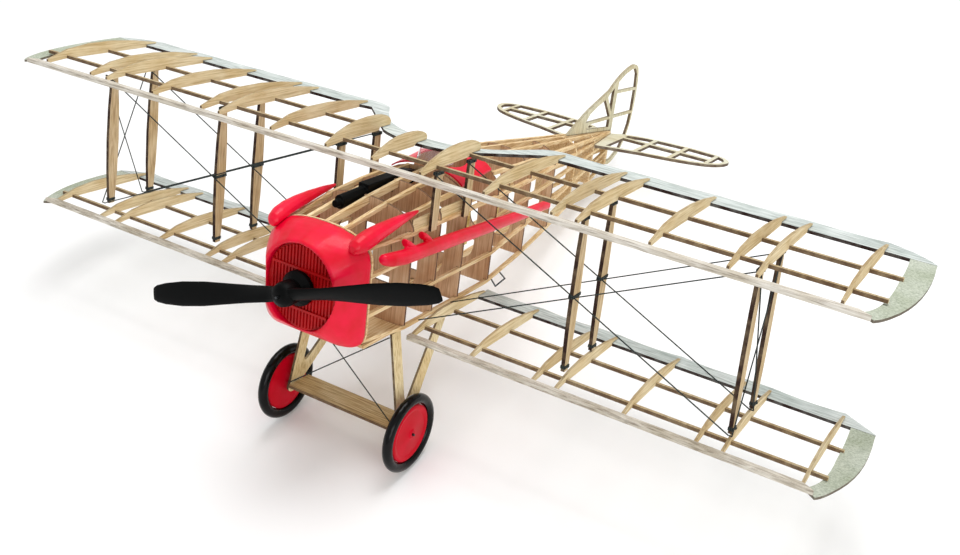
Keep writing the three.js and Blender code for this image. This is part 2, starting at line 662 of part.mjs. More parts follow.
// moulded rim round the cockpit, bent to the deck in one straight sweep
function coaming() {
  const front = 45.3;
  const back = 81.3;
  const middle = (front + back) / 2;
  const rise = (deckZ(cockpitY, 0) - deckZ(44, 0)) / (cockpitY - 44);
  const edge = (lift) => {
    const line = [];
    for (let i = -8; i <= 8; i += 1) {
      const x = (i / 8) * 27;
      line.push(new THREE.Vector2(x, mix(deckZ(44, x), deckZ(cockpitY, x), (middle - 44) / (cockpitY - 44)) + lift));
    }
    return line;
  };
  const arch = new THREE.Shape([...edge(1.6), ...edge(0.4).reverse()]);
  const sweep = new THREE.Matrix4().set(1, 0, 0, 0, 0, 1, 0, 0, 0, rise, 1, -rise * middle, 0, 0, 0, 1);
  const skin = plateFacing(arch, front, back).applyMatrix4(sweep);
  const well = new THREE.CylinderGeometry(1, 1, 40, 24).rotateX(Math.PI / 2).scale(17, 15.5, 1);
  return cut(skin, [well.translate(0, 62.5, -20)]);
}
place('cockpit_coaming', coaming(), redPlastic);

// ---- undercarriage ------------------------------------------------------------
const legTop = { x: bodyHalf - 2.4, z: floorZ(0) - touch };
const legFoot = { x: wheel.x - wheel.width / 2 - 2.6, z: wheel.z };
const splay = Math.atan2(legFoot.x - legTop.x, legTop.z - legFoot.z);

function legVee() {
  const drop = (legTop.z - legFoot.z) / Math.cos(splay);
  const shape = new THREE.Shape();
  const front = wheel.y;
  const back = 34;
  shape.moveTo(front - 4.5, 0);
  shape.lineTo(front - 4.5, -drop + 4);
  shape.absarc(front, -drop, 5.2, Math.PI * 0.83, Math.PI * 1.86, false);
  shape.lineTo(back + 5, 0);
  shape.lineTo(back - 4, 0);
  shape.lineTo(front + 10, -drop + 19);
  shape.quadraticCurveTo(front + 5, -drop + 14, front + 4.5, -drop + 22);
  shape.lineTo(front + 4.5, 0);
  const vee = plateAcross(shape, -sheet / 2, sheet / 2, 6);
  return vee.rotateY(-splay).translate(legTop.x, 0, legTop.z - touch);
}

function lyingCylinder(radius, x0, x1, segments) {
  const rod = new THREE.CylinderGeometry(radius, radius, x1 - x0, segments).rotateZ(Math.PI / 2);
  return rod.translate((x0 + x1) / 2, 0, 0);
}

const axleReach = wheel.x + wheel.width / 2 + 1.2;
const atAxle = (geometry) => geometry.translate(0, wheel.y, wheel.z);
const axleHole = atAxle(lyingCylinder(wheel.axle + 0.25, -axleReach - 2, axleReach + 2, 16));
for (const [name, side] of sides) {
  place(`undercarriage_leg_${name}`, mirrored(side, cut(legVee(), [axleHole])), balsa);
}
place('axle', atAxle(lyingCylinder(wheel.axle, -axleReach, axleReach, 16)), wire);
const spreadHalf = legFoot.x - 3;
place('axle_spreader', block(-spreadHalf, spreadHalf, wheel.y - 8, wheel.y + 12, wheel.z + wheel.axle + touch,
  wheel.z + wheel.axle + touch + sheetThick), balsa);

const wheelRing = (profile, segments) => turnedSolid(profile, segments).rotateZ(-Math.PI / 2);

function tyre() {
  const half = wheel.width / 2;
  const middle = (wheel.radius + wheel.rim) / 2;
  const deep = (wheel.radius - wheel.rim) / 2;
  const profile = [];
  for (let i = 0; i <= 8; i += 1) {
    const turn = -(2 * Math.PI * i) / 8;
    profile.push([middle + deep * Math.cos(turn), half * Math.sin(turn)]);
  }
  return wheelRing(profile, 32);
}

function disc() {
  const bore = wheel.axle + 0.2;
  const rim = wheel.rim - touch;
  return wheelRing([[bore, -2.4], [rim - 2, -1.9], [rim, -1.4], [rim, 1.4], [rim - 1.6, 2.2], [rim - 4, 1.3],
    [3.4, 2.4], [2.6, 3.2], [bore, 3.2], [bore, -2.4]], 32);
}

for (const [name, side] of sides) {
  const hub = new THREE.Group();
  hub.position.set(side * wheel.x, wheel.y, wheel.z);
  hub.rotation.set(pitch, 0, side > 0 ? 0 : Math.PI);
  plane.add(hub);
  place(`${name}_tyre`, tyre(), tyreRubber, hub);
  place(`${name}_wheel_disc`, disc(), redPlastic, hub);
}

// ---- tail -------------------------------------------------------------------
// flat frame: an outline with windows cut between the sticks
function openFrame(plate, outline, middle, windows) {
  const tools = windows.map((corners) => {
    const shape = new THREE.Shape(corners.map(([a, b]) => new THREE.Vector2(a, b)));
    return plate(shape, middle - 3, middle + 3);
  });
  return cut(plate(outline, middle - 1.2, middle + 1.2, 6), tools);
}

function finFrame() {
  const base = (y) => crownZ(y) + touch + 0.2;
  const shape = new THREE.Shape();
  shape.moveTo(250, base(250));
  shape.lineTo(postY + 0.8, base(postY));
  shape.lineTo(postY + 0.8, -72.4);
  shape.quadraticCurveTo(339, -76, 348, -74);
  shape.quadraticCurveTo(366, -68, 374, -54);
  shape.quadraticCurveTo(380, -42, 381, -26);
  shape.quadraticCurveTo(381.5, -2, 376, 6);
  shape.quadraticCurveTo(371, 11.5, 361, 9.5);
  shape.quadraticCurveTo(340, 6, 322, -6.5);
  shape.quadraticCurveTo(300, -13, 284, -18);
  shape.quadraticCurveTo(266, -25, 250, base(250));
  return openFrame(plateAcross, shape, 0, [
    [[284, -33.9], [330, -39.3], [330, -32.3], [290, -30.5]],
    [[281, -27.8], [329.3, -29.9], [315, -13.6], [300, -17.4], [288, -21.6]],
    [[319.5, -12], [330.7, -26], [330.7, -5.5], [322, -9.8]],
    [[337.6, -8.9], [377, -11], [375, 1], [370, 6.4], [362, 6.4], [350, 3.8], [337.6, -1.2]],
    [[337.6, -11.2], [377, -13.4], [377.4, -32.1], [337.6, -30.3]],
    [[337.6, -32.6], [377, -34.4], [375.4, -44], [371, -54], [362.5, -64.5], [348, -71], [337.6, -71.4]],
  ]);
}

// half tailplane, its root slanted along the side of the body
function tailplaneHalf(side) {
  const root = (y) => halfWidth(y) + 0.9;
  const shape = new THREE.Shape();
  shape.moveTo(root(286), 286);
  shape.lineTo(46, 298.5);
  shape.quadraticCurveTo(84, 307, 97, 316);
  shape.quadraticCurveTo(109, 326, 108, 338);
  shape.quadraticCurveTo(105, 349, 88, 351);
  shape.quadraticCurveTo(58, 353, 38, 349.5);
  shape.quadraticCurveTo(16, 346, root(333), 333);
  return mirrored(side, openFrame(plateFlat, shape, stabZ, [
    [[17, 293], [38, 299.5], [38, 328.5], [17, 328.5]],
    [[41.5, 300.5], [65.5, 306], [65.5, 328.5], [41.5, 328.5]],
    [[69, 307], [93, 317.5], [93, 328.5], [69, 328.5]],
    [[17, 332.5], [38, 332.5], [38, 346], [30, 344.4], [17, 339]],
    [[41.5, 332.5], [65.5, 332.5], [65.5, 348.6], [41.5, 346.8]],
    [[69, 332.5], [93, 332.5], [93, 347.4], [69, 348.6]],
    [[96.2, 320], [103, 328], [104.3, 337], [101, 343], [96.2, 346]],
  ]));
}

place('fin_and_rudder', finFrame(), balsa);
for (const [name, side] of sides) place(`tailplane_${name}`, tailplaneHalf(side), balsa);

function tailSkid() {
  const leg = barAlong([[0, 297, -79.8, 1.1], [0, 306, -83.6, 1.1], [0, 314, -88.6, 1.2],
    [0, skidFoot.y, skidFoot.z + skidEnd, 1.2]], 8);
  const foot = new THREE.SphereGeometry(skidEnd, 12, 10).translate(0, skidFoot.y, skidFoot.z + skidEnd);
  return join([leg, foot]);
}
place('tail_skid', tailSkid(), balsa);

// wire loops joined by balls at their corners
function wireLoop(corners, radius) {
  const parts = corners.slice(1).map((corner, i) => strand(corners[i], corner, radius));
  corners.slice(1, -1).forEach((corner) => {
    parts.push(new THREE.SphereGeometry(radius * 1.02, 8, 6).translate(corner.x, corner.y, corner.z));
  });
  return join(parts);
}
const stepX = 30.5;
place('boarding_step', wireLoop([point(stepX, 94, -99.6), point(stepX, 103, -108.6), point(stepX, 116, -106.6),
  point(stepX, 106.5, -98.9)], 0.6), wire);

// ---- rigging ----------------------------------------------------------------
const threadRadius = 0.4;
function bracing() {
  const topZ = strutTop - 0.8;
  const lowZ = strutBottom + 0.6;
  const inX = cabane.x + 0.4;
  const { top, low } = strutX.outer;
  const clear = stock / 2 + touch + threadRadius + 0.3; // the side pair runs just outside the struts
  const rows = strutY.map((y) => y - 4.5 - touch - threadRadius - 0.2);
  const lines = [];
  for (const y of rows) {
    lines.push([point(inX, y, topZ), point(low, y, lowZ)], [point(inX, y, lowZ), point(top, y, topZ)]);
    lines.push([point(top - 0.3, y, topZ), point(top + clear + 0.2, y, topZ)]);
    lines.push([point(low - 0.3, y, lowZ), point(low + clear + 0.2, y, lowZ)]);
  }
  const [front, rear] = rows;
  lines.push([point(top + clear, front - 0.2, topZ), point(low + clear, rear + 0.2, lowZ)]);
  lines.push([point(low + clear, front - 0.2, lowZ), point(top + clear, rear + 0.2, topZ)]);
  return join(lines.map(([from, to]) => strand(from, to, threadRadius)));
}
for (const [name, side] of sides) place(`rigging_${name}`, mirrored(side, bracing()), thread);

const gearY = wheel.y - 6.4;
const gearCross = [1, -1].map((side) =>
  strand(point(side * 41, gearY, wheel.z + 4), point(-side * 32, gearY, legTop.z - 1.6), threadRadius));
place('undercarriage_thread', join(gearCross), thread);

// ---- standing attitude --------------------------------------------------------
plane.rotation.x = -pitch;
plane.name = 'level_aircraft';

const group = new THREE.Group();
group.name = 'biplane_model';
group.add(plane);
group.updateMatrixWorld(true);
const bounds = new THREE.Box3().setFromObject(group, true);
const centre = bounds.getCenter(new THREE.Vector3());
plane.position.set(-centre.x, -centre.y, -bounds.min.z);
group.updateMatrixWorld(true);

export default group;
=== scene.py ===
import json
import math
import bpy
from mathutils import Matrix, Vector


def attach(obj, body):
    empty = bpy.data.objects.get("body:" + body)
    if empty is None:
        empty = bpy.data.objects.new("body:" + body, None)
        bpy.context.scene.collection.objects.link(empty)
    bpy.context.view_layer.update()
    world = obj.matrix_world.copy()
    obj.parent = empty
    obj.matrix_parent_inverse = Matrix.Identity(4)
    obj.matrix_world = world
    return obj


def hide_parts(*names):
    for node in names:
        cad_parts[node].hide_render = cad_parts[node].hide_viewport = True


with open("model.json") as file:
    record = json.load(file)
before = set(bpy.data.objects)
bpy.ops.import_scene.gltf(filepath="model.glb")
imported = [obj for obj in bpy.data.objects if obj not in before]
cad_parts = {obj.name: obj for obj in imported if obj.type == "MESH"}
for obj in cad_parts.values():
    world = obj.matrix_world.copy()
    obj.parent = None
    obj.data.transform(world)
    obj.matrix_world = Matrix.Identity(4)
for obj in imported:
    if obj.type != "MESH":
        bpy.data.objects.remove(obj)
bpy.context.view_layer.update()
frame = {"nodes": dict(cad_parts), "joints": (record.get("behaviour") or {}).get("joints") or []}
scene = bpy.context.scene
mm = 0.001

# camera
camera = dict(place=(0.3540, -0.5845, 0.5078), turn=(53.623, 1.356, 31.426), lens=41.61, sensor=36, near=0.01,
              shift=(0.0003, 0.0011))
cameraData = bpy.data.cameras.new("studioCamera")
cameraData.lens = camera["lens"]
cameraData.sensor_width = camera["sensor"]
cameraData.clip_start = camera["near"]
cameraData.shift_x, cameraData.shift_y = camera["shift"]
cameraObject = bpy.data.objects.new("studioCamera", cameraData)
cameraObject.location = camera["place"]
cameraObject.rotation_euler = [math.radians(angle) for angle in camera["turn"]]
scene.collection.objects.link(cameraObject)
scene.camera = cameraObject
print("camera ready")

# the level axes of the pitched aircraft, from the propeller's joint
joints = {joint["name"]: joint for joint in frame["joints"]}
aftAxis = Vector(joints["propeller_spin"]["axis"])  # along the body, towards the tail
leftAxis = Vector((1, 0, 0))
upAxis = leftAxis.cross(aftAxis)
pitch = math.asin(-aftAxis.z)
propHub = Vector(joints["propeller_spin"]["pos_m"])
hubLevel = Vector((0, -0.090, -0.064))  # the hub in the level aircraft's own metres
levelZero = propHub - aftAxis * hubLevel.y - upAxis * hubLevel.z


def inLevel(x, y, z):
    # a point given in the level aircraft's millimetres
    return levelZero + leftAxis * (x * mm) + aftAxis * (y * mm) + upAxis * (z * mm)


levelTurn = Matrix.Rotation(-pitch, 4, "X")


# materials
def linear(hexColour, alpha=1.0):
    parts = [int(hexColour[i:i + 2], 16) / 255 for i in (1, 3, 5)]
    return [p / 12.92 if p <= 0.04045 else ((p + 0.055) / 1.055) ** 2.4 for p in parts] + [alpha]


def perCell(size):
    # the noise scale that makes one cell this many millimetres across
    return 1 / (size * mm)


def addNode(tree, kind, settings=None, links=None):
    # one node: settings by attribute, by socket or as a ramp's (place, colour) stops,
    # and links as socket: (node, output)
    node = tree.nodes.new(kind)
    for key, value in (settings or {}).items():
        if key == "stops":
            elements = node.color_ramp.elements
            while len(elements) < len(value):
                elements.new(0.5)
            for element, (place, colour) in zip(elements, value):
                element.position = place
                element.color = linear(colour)
        elif isinstance(key, str) and hasattr(node, key):
            setattr(node, key, value)
        else:
            node.inputs[key].default_value = value
    for socket, (source, output) in (links or {}).items():
        tree.links.new(source.outputs[output], node.inputs[socket])
    return node


def newMaterial(name, settings):
    material = bpy.data.materials.new(name)
    material.use_nodes = True
    tree = material.node_tree
    shader = tree.nodes["Principled BSDF"]
    for socket, value in settings.items():
        shader.inputs[socket].default_value = value
    return material, tree, shader


def balsaMaterial(name, look):
    # laser-cut balsa sheet or strip: matt and fibrous, long pores along the grain, edges scorched by the
    # beam, the scorch painted lighter on up-facing faces as painted light from above
    material, tree, shader = newMaterial(name, {"Roughness": look["roughness"], "Specular IOR Level": 0.25})
    coord = addNode(tree, "ShaderNodeTexCoord")
    level = addNode(tree, "ShaderNodeMapping", {"Rotation": (pitch, 0, 0)}, {"Vector": (coord, "Object")})
    grainScale = [perCell(size) for size in look["grain"]]  # across x, y and z
    stretched = addNode(tree, "ShaderNodeMapping", {"Scale": grainScale}, {"Vector": (level, "Vector")})
    # pores are wider apart than in real balsa, so that they show
    fibre = {"Scale": 1.0, "Detail": 4.0, "Roughness": 0.62, "Distortion": 0.4}
    pores = addNode(tree, "ShaderNodeTexNoise", fibre, {"Vector": (stretched, "Vector")})
    clouds = addNode(tree, "ShaderNodeTexNoise", {"Scale": perCell(26.3), "Detail": 3.0},
                     {"Vector": (level, "Vector")})
    woodStops = [(0.34, look["dark"]), (0.5, look["middle"]), (0.68, look["pale"])]
    wood = addNode(tree, "ShaderNodeValToRGB", {"stops": woodStops}, {"Fac": (pores, "Fac")})
    stainStops = [(0.35, look["stain"]), (0.62, "#ffffff")]
    stain = addNode(tree, "ShaderNodeValToRGB", {"stops": stainStops}, {"Fac": (clouds, "Fac")})
    body = addNode(tree, "ShaderNodeMix", {"data_type": "RGBA", "blend_type": "MULTIPLY", "Factor": 1.0},
                   {"A": (wood, "Color"), "B": (stain, "Color")})
    # how much each face looks along the sheet's own thickness, and how much it looks up; faces that look up
    # get less scorch, a painted highlight of the light from above
    across = addNode(tree, "ShaderNodeVectorMath", {"operation": "DOT_PRODUCT", 1: look["sheetNormal"]},
                     {0: (coord, "Normal")})
    flat = addNode(tree, "ShaderNodeMath", {"operation": "ABSOLUTE"}, {0: (across, "Value")})
    edge = addNode(tree, "ShaderNodeMapRange", {"From Min": 0.75, "From Max": 0.55},
                   {"Value": (flat, "Value")})
    upward = addNode(tree, "ShaderNodeVectorMath", {"operation": "DOT_PRODUCT", 1: upAxis},
                     {0: (coord, "Normal")})
    # painted light: the scorch is weakened on up-facing cut edges, as if those tops were lit from above
    burnRange = {"From Min": 0.6, "From Max": 0.85, "To Min": look["burn"], "To Max": look["paintedLitTopBurn"]}
    scorchWithPaintedTopLight = addNode(tree, "ShaderNodeMapRange", burnRange, {"Value": (upward, "Value")})
    patchy = addNode(tree, "ShaderNodeTexNoise", {"Scale": perCell(6.25), "Detail": 2.0},
                     {"Vector": (level, "Vector")})
    brokenRange = {"From Min": 0.3, "From Max": 0.6, "To Min": 0.8, "To Max": 1.0}
    broken = addNode(tree, "ShaderNodeMapRange", brokenRange, {"Value": (patchy, "Fac")})
    scorch = addNode(tree, "ShaderNodeMath", {"operation": "MULTIPLY"},
                     {0: (edge, "Result"), 1: (scorchWithPaintedTopLight, "Result")})
    burnt = addNode(tree, "ShaderNodeMath", {"operation": "MULTIPLY"},
                    {0: (scorch, "Value"), 1: (broken, "Result")})
    colour = addNode(tree, "ShaderNodeMix", {"data_type": "RGBA", "B": linear(look["scorch"])},
                     {"Factor": (burnt, "Value"), "A": (body, "Result")})
    tree.links.new(colour.outputs["Result"], shader.inputs["Base Color"])
    bump = addNode(tree, "ShaderNodeBump", {"Strength": 0.25, "Distance": 0.12 * mm},
                   {"Height": (pores, "Fac")})
    tree.links.new(bump.outputs["Normal"], shader.inputs["Normal"])
    return material


def plasticMaterial(name, look):
    # vacuum-formed or moulded plastic: an even skin that waves a little, so highlights break softly
    surface = {"Roughness": look["roughness"], "IOR": 1.49, "Specular IOR Level": look["shine"],
               "Coat Weight": look["coat"], "Coat Roughness": look["coatRoughness"]}
    material, tree, shader = newMaterial(name, surface)
    coord = addNode(tree, "ShaderNodeTexCoord")
    cast = addNode(tree, "ShaderNodeTexNoise", {"Scale": perCell(11.1), "Detail": 2.0},
                   {"Vector": (coord, "Object")})
    tintStops = [(0.3, look["deep"]), (0.7, look["bright"])]
    tint = addNode(tree, "ShaderNodeValToRGB", {"stops": tintStops}, {"Fac": (cast, "Fac")})
    tree.links.new(tint.outputs["Color"], shader.inputs["Base Color"])
    skin = addNode(tree, "ShaderNodeTexNoise", {"Scale": perCell(2.38), "Detail": 3.0},
                   {"Vector": (coord, "Object")})
    bump = addNode(tree, "ShaderNodeBump", {"Strength": look["wave"], "Distance": 0.2 * mm},
                   {"Height": (skin, "Fac")})
    tree.links.new(bump.outputs["Normal"], shader.inputs["Normal"])
    return material


sideways, foreAft, flatwise = (1, 0, 0), tuple(aftAxis), tuple(upAxis)
# the scorch on up-facing cut edges is set lower than on the other edges, which paints those tops lighter:
# painted light from above
tanBalsa = dict(pale="#eddebb", middle="#dfcca3", dark="#c3ad82", stain="#f1e9da", scorch="#4a2f20",
                roughness=0.8, burn=0.9, paintedLitTopBurn=0.45, sheetNormal=sideways, grain=(0.9, 26, 0.9))
# warm tan ribs with brown burnt edges
ribBalsa = balsaMaterial("laserCutBalsaRib", tanBalsa)
# duller tan sticks, burnt dark all round the cut
strutBalsa = balsaMaterial("laserCutBalsaStrut", {
    **tanBalsa, "pale": "#dccaa6", "middle": "#cab38e", "dark": "#a68d6a", "grain": (0.9, 0.9, 24),
    "burn": 1.0, "paintedLitTopBurn": 0.9, "scorch": "#2b1812"
})
# bright honey-coloured legs
legBalsa = balsaMaterial("laserCutBalsaLeg", {
    **tanBalsa, "pale": "#efe2bf", "middle": "#e2d0a4", "dark": "#c2aa7c", "grain": (0.9, 0.9, 24),
    "burn": 0.95, "scorch": "#3a2417"
})
# orange-tan stringers, sawn and so hardly burnt
keelBalsa = balsaMaterial("sawnBalsaStringer", {
    **tanBalsa, "pale": "#f0dfbb", "middle": "#e3c89b", "dark": "#bd9768", "burn": 0.2, "paintedLitTopBurn": 0.05,
    "scorch": "#6b4128"
})
# cool pale frames, the grain running out along the span
tailBalsa = balsaMaterial("laserCutBalsaTail", {
    **tanBalsa, "grain": (18, 1.0, 1.0), "sheetNormal": flatwise, "pale": "#e6e3d0",
    "middle": "#d6d2bb", "dark": "#b5b096"
})
# nearly the same pale sheet, its grain upright
finBalsa = balsaMaterial("laserCutBalsaFin", {
    **tanBalsa, "grain": (1.0, 1.2, 18), "pale": "#e4e0c8", "middle": "#d3cdb0", "dark": "#b0a98b"
})
# hard reddish-brown formers, darker than the rest
brownBalsa = balsaMaterial("hardBrownBalsaFormer", {
    **tanBalsa, "pale": "#dcc0a0", "middle": "#cfae8c", "dark": "#b89473", "stain": "#e2cdbb",
    "grain": (1.1, 1.1, 30), "sheetNormal": foreAft, "paintedLitTopBurn": 0.85
})
# nearly white leading edges with grey fibres
leadBalsa = balsaMaterial("bleachedBalsaStrip", {
    **tanBalsa, "pale": "#e6e2d9", "middle": "#d2ccc1", "dark": "#998f81", "stain": "#ece8e0",
    "grain": (14, 0.9, 0.9), "burn": 0.0, "paintedLitTopBurn": 0.0
})
# the lower wing's leading edges, a little greyer: painted shade, a darker copy of the upper strip for the
# lower wing's shaded front
shadedLowLeadBalsa = balsaMaterial("shadedGreyBalsaStrip", {
    **tanBalsa, "pale": "#e2ddd2", "middle": "#c8c1b4", "dark": "#958b7e", "stain": "#dfdad0",
    "grain": (9, 0.9, 0.9), "burn": 0.0, "paintedLitTopBurn": 0.0
})
# cool white sheet, its edges burnt nearly black
trailBalsa = balsaMaterial("bleachedBalsaSheet", {
    **tanBalsa, "pale": "#dde2df", "middle": "#c8cecb", "dark": "#a3aaa6", "stain": "#e8ecea",
    "grain": (16, 1.6, 1.6), "sheetNormal": flatwise, "burn": 1.0, "paintedLitTopBurn": 0.95, "scorch": "#2a1812"
})
# grey-green sheet, mottled rather than streaked
tipBalsa = balsaMaterial("greenishBalsaSheet", {
    **tanBalsa, "pale": "#cfd4c7", "middle": "#b9bfb0", "dark": "#9aa192", "stain": "#e4e7dd",
    "grain": (1.2, 0.9, 0.9), "sheetNormal": flatwise, "burn": 0.8
})
# brownish board with strong streaks
spreaderBalsa = balsaMaterial("streakedBalsaBoard", {
    **tanBalsa, "pale": "#dccba6", "middle": "#bfa980", "dark": "#937c58", "grain": (20, 1.0, 1.0),
    "sheetNormal": flatwise
})
# yellow ply, stained by its glue
plyWood = balsaMaterial("gluedYellowPly", {
    **tanBalsa, "pale": "#efe6a4", "middle": "#e4d88c", "dark": "#c2b266", "burn": 0.3
})
# thin formed sheet: bright pinkish red with soft highlights
redPlastic = plasticMaterial("vacuumFormedRedStyrene", dict(
    deep="#d2001e", bright="#e60036", roughness=0.34, shine=0.26, coat=0.06, coatRoughness=0.12,
    wave=0.12
))
# the same sheet in the shade of the cowl's mouth
darkRedPlastic = plasticMaterial("shadedRedStyrene", dict(
    deep="#9c0206", bright="#b8040a", roughness=0.45, shine=0.2, coat=0.05, coatRoughness=0.25, wave=0.2
))
# satin black that hardly shines
blackPlastic = plasticMaterial("mouldedBlackNylon", dict(
    deep="#000101", bright="#020303", roughness=0.5, shine=0.08, coat=0.0, coatRoughness=0.3, wave=0.1
))
# black with narrow highlights
tyrePlastic = plasticMaterial("mouldedBlackVinylTyre", dict(
    deep="#000000", bright="#020202", roughness=0.2, shine=0.14, coat=0.1, coatRoughness=0.1, wave=0.05
))
# even crimson, a little duller than the cowl
discPlastic = plasticMaterial("mouldedRedDisc", dict(
    deep="#b80016", bright="#c80024", roughness=0.4, shine=0.1, coat=0.0, coatRoughness=0.2, wave=0.1
))


def threadMaterial():
    # waxed button thread: dark green-black twist with a dull sheen
    material, tree, shader = newMaterial("waxedTwistThread", {"Roughness": 0.75, "Specular IOR Level": 0.3})
    coord = addNode(tree, "ShaderNodeTexCoord")
    twistPitch = 1.208  # millimetres, coarser than real thread so that it shows
    twistScale = perCell(twistPitch) * math.tau / 20  # a wave band is 2 pi / 20 of a cell
    twist = addNode(tree, "ShaderNodeTexWave", {"Scale": twistScale, "Distortion": 1.5},
                    {"Vector": (coord, "Object")})
    strandStops = [(0.2, "#141a19"), (0.8, "#323b39")]
    strands = addNode(tree, "ShaderNodeValToRGB", {"stops": strandStops}, {"Fac": (twist, "Fac")})
    tree.links.new(strands.outputs["Color"], shader.inputs["Base Color"])
    return material


def wireMaterial():
    # drawn music wire: dark steel with fine drawing lines
    material, tree, shader = newMaterial("drawnMusicWire", {"Metallic": 1.0, "Roughness": 0.38})
    coord = addNode(tree, "ShaderNodeTexCoord")
    # the drawing lines are far coarser than real ones, so that they show
    lines = addNode(tree, "ShaderNodeTexNoise", {"Scale": perCell(1.11)}, {"Vector": (coord, "Object")})
    steelStops = [(0.3, "#3a3b3d"), (0.7, "#55585b")]
    steel = addNode(tree, "ShaderNodeValToRGB", {"stops": steelStops}, {"Fac": (lines, "Fac")})
    tree.links.new(steel.outputs["Color"], shader.inputs["Base Color"])
    return material


def clearMaterial():
    # thin clear acetate: nearly invisible, with a faint skin of scuffs
    surface = {"Base Color": linear("#f4f1f6"), "Roughness": 0.08, "IOR": 1.48, "Transmission Weight": 0.92}
    material, tree, shader = newMaterial("clearAcetateSheet", surface)
    coord = addNode(tree, "ShaderNodeTexCoord")
    scuffs = addNode(tree, "ShaderNodeTexNoise", {"Scale": perCell(2)}, {"Vector": (coord, "Object")})
    bump = addNode(tree, "ShaderNodeBump", {"Strength": 0.05, "Distance": 0.1 * mm},
                   {"Height": (scuffs, "Fac")})
    tree.links.new(bump.outputs["Normal"], shader.inputs["Normal"])
    return material


thread, musicWire, acetate = threadMaterial(), wireMaterial(), clearMaterial()
print("materials ready")


def give(thing, material):
    thing.data.materials.clear()
    thing.data.materials.append(material)


finishes = {
    "ribs_and_spars": ribBalsa, "upper_leading_edge": leadBalsa, "lower_leading_edge": shadedLowLeadBalsa,
    "trailing_edge": trailBalsa, "wingtip": tipBalsa, "strut": strutBalsa, "fuselage_keels": keelBalsa,
    "fuselage_former": brownBalsa, "nose_cowl": redPlastic, "radiator_grille": darkRedPlastic,
    "fairing": redPlastic, "exhaust_pipe": redPlastic, "cockpit_coaming": redPlastic,
    "deck_gun": blackPlastic, "windscreen": acetate,
    "propeller": blackPlastic, "propeller_shaft": musicWire, "thrust_bearing": blackPlastic,
    "undercarriage_leg": legBalsa, "axle": musicWire, "axle_spreader": spreaderBalsa, "tyre": tyrePlastic,
    "wheel_disc": discPlastic, "fin_and_rudder": finBalsa, "tailplane": tailBalsa, "tail_skid": strutBalsa,
    "boarding_step": musicWire, "rigging": thread, "undercarriage_thread": thread,
}
for nodeName, node in frame["nodes"].items():
    match = max((key for key in finishes if key in nodeName), key=len)
    give(node, finishes[match])


# tools
weldGap = 0.01 * mm  # vertices closer than this are one


def selectOnly(*things):
    bpy.ops.object.select_all(action="DESELECT")
    for thing in things:
        thing.select_set(True)
    bpy.context.view_layer.objects.active = things[0]


def applyModifier(thing, kind, settings):
    modifier = thing.modifiers.new(kind.lower(), kind)
    for key, value in settings.items():
        setattr(modifier, key, value)
    selectOnly(thing)
    bpy.ops.object.modifier_apply(modifier=modifier.name)


def mergedCopy(nodeName, name):
    # the CAD node's shape as one connected mesh
    node = frame["nodes"][nodeName]
    copy = bpy.data.objects.new(name, node.data.copy())
    scene.collection.objects.link(copy)
    selectOnly(copy)
    bpy.ops.object.mode_set(mode="EDIT")
    bpy.ops.mesh.select_all(action="SELECT")
    bpy.ops.mesh.remove_doubles(threshold=weldGap)
    bpy.ops.object.mode_set(mode="OBJECT")
    return copy


def easeEdges(piece, look):
    # sharp corners bevelled, and the faces between them shaded smooth
    applyModifier(piece, "BEVEL", dict(width=look["ease"] * mm, segments=2, limit_method="ANGLE",
                                       angle_limit=math.radians(look["corner"])))
    selectOnly(piece)
    bpy.ops.object.shade_smooth_by_angle(angle=math.radians(look["smooth"]))


def standIn(piece, body, *nodeNames):
    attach(piece, body)
    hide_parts(*nodeNames)
    return piece


# moulded pieces: the skin is rebuilt finely and its facets relaxed
moulded = {
    "nose_cowl": dict(name="formedNoseCowl", voxel=0.55, relax=26),
    "fairing_left": dict(name="gunFairingLeft", voxel=0.45, relax=8),
    "fairing_right": dict(name="gunFairingRight", voxel=0.45, relax=8),
    "exhaust_pipe_left": dict(name="exhaustPipeLeft", voxel=0.5, relax=9),
    "exhaust_pipe_right": dict(name="exhaustPipeRight", voxel=0.5, relax=7),
    "deck_gun": dict(name="deckGun", voxel=0.4, relax=4),
}
for nodeName, look in moulded.items():
    piece = mergedCopy(nodeName, look["name"])
    applyModifier(piece, "REMESH", dict(mode="VOXEL", voxel_size=look["voxel"] * mm))
    applyModifier(piece, "SMOOTH", dict(factor=0.5, iterations=look["relax"]))
    selectOnly(piece)
    bpy.ops.object.shade_smooth()
    give(piece, frame["nodes"][nodeName].data.materials[0])
    standIn(piece, "airframe", nodeName)

# the propeller keeps its blades' own shape, with eased edges
bladeLook = dict(ease=0.35, corner=50, smooth=60)
blades = mergedCopy("propeller", "twoBladePropeller")
easeEdges(blades, bladeLook)
standIn(blades, "propeller", "propeller")
print("moulded pieces ready")

# tyres and discs rounded from their coarse rings; the fill gives a tyre back what the rounding took
wheelLook = dict(fill=0.28, ease=0.25, corner=25, smooth=40)
for side in ("left", "right"):
    tyre = mergedCopy(f"{side}_tyre", f"{side}RoundTyre")
    applyModifier(tyre, "SUBSURF", dict(levels=2, render_levels=2))
    applyModifier(tyre, "DISPLACE", dict(strength=wheelLook["fill"] * mm, mid_level=0))
    selectOnly(tyre)
    bpy.ops.object.shade_smooth()
    standIn(tyre, f"{side}_wheel", f"{side}_tyre")
    disc = mergedCopy(f"{side}_wheel_disc", f"{side}SmoothDisc")
    easeEdges(disc, wheelLook)
    standIn(disc, f"{side}_wheel", f"{side}_wheel_disc")
print("wheels ready")


# added pieces
def levelPoint(point):
    offset = Vector(point) - levelZero
    return Vector((offset.x, offset.dot(aftAxis), offset.dot(upAxis)))


